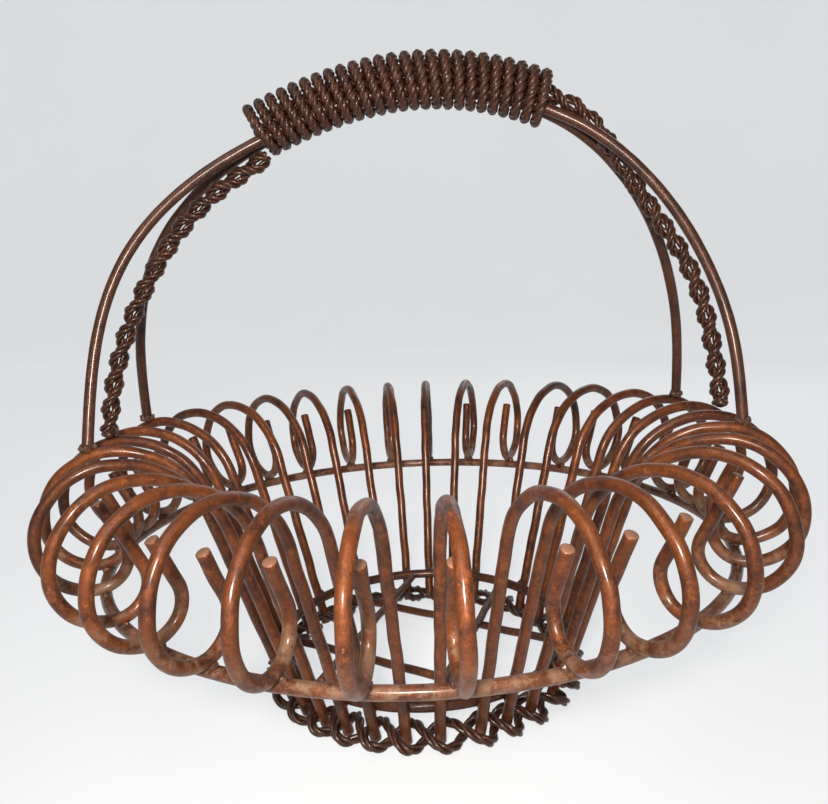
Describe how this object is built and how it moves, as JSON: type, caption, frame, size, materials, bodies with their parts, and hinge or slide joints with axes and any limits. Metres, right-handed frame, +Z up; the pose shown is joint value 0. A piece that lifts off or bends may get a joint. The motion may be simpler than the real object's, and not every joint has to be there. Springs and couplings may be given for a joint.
{
  "type": "wire fruit basket",
  "caption": "Round open basket of scrolled iron wire ribs on a rim hoop, with a twined foot, crossed floor wires and an arched wire-wrapped handle for carrying fruit.",
  "frame": {"origin": "on the ground at the centre of the foot", "axes": "+Z up through the basket, +X along the handle to its right end, -Y to the front"},
  "size_m": [0.4116, 0.4121, 0.3561],
  "materials": {
    "rib_wire": "satin",
    "hoop_wire": "satin",
    "base_wire": "satin",
    "twine_wire": "satin",
    "handle_wire": "satin",
    "rope_wire": "satin",
    "wrap_wire": "satin"
  },
  "bodies": {
    "root": {"rib_01": "rib_wire", "rib_02": "rib_wire", "rib_03": "rib_wire", "rib_04": "rib_wire", "rib_05": "rib_wire", "rib_06": "rib_wire", "rib_07": "rib_wire", "rib_08": "rib_wire", "rib_09": "rib_wire", "rib_10": "rib_wire", "rib_11": "rib_wire", "rib_12": "rib_wire", "rib_13": "rib_wire", "rib_14": "rib_wire", "rib_15": "rib_wire", "rib_16": "rib_wire", "rib_17": "rib_wire", "rib_18": "rib_wire", "rib_19": "rib_wire", "rib_20": "rib_wire", "rib_21": "rib_wire", "rib_22": "rib_wire", "rib_23": "rib_wire", "rib_24": "rib_wire", "rib_25": "rib_wire", "rib_26": "rib_wire", "rib_27": "rib_wire", "rib_28": "rib_wire", "rib_29": "rib_wire", "rib_30": "rib_wire", "rib_31": "rib_wire", "rib_32": "rib_wire", "rim_hoop": "hoop_wire", "base_ring": "base_wire", "foot_twine_a": "twine_wire", "foot_twine_b": "twine_wire", "floor_wire_1": "base_wire", "floor_wire_2": "base_wire", "floor_wire_3": "base_wire", "floor_wire_4": "base_wire", "handle_rod_front": "handle_wire", "handle_rod_back": "handle_wire", "handle_rope_a": "rope_wire", "handle_rope_b": "rope_wire", "side_rope_a": "rope_wire", "side_rope_b": "rope_wire", "grip_wrap": "wrap_wire"}
  },
  "joints": []
}
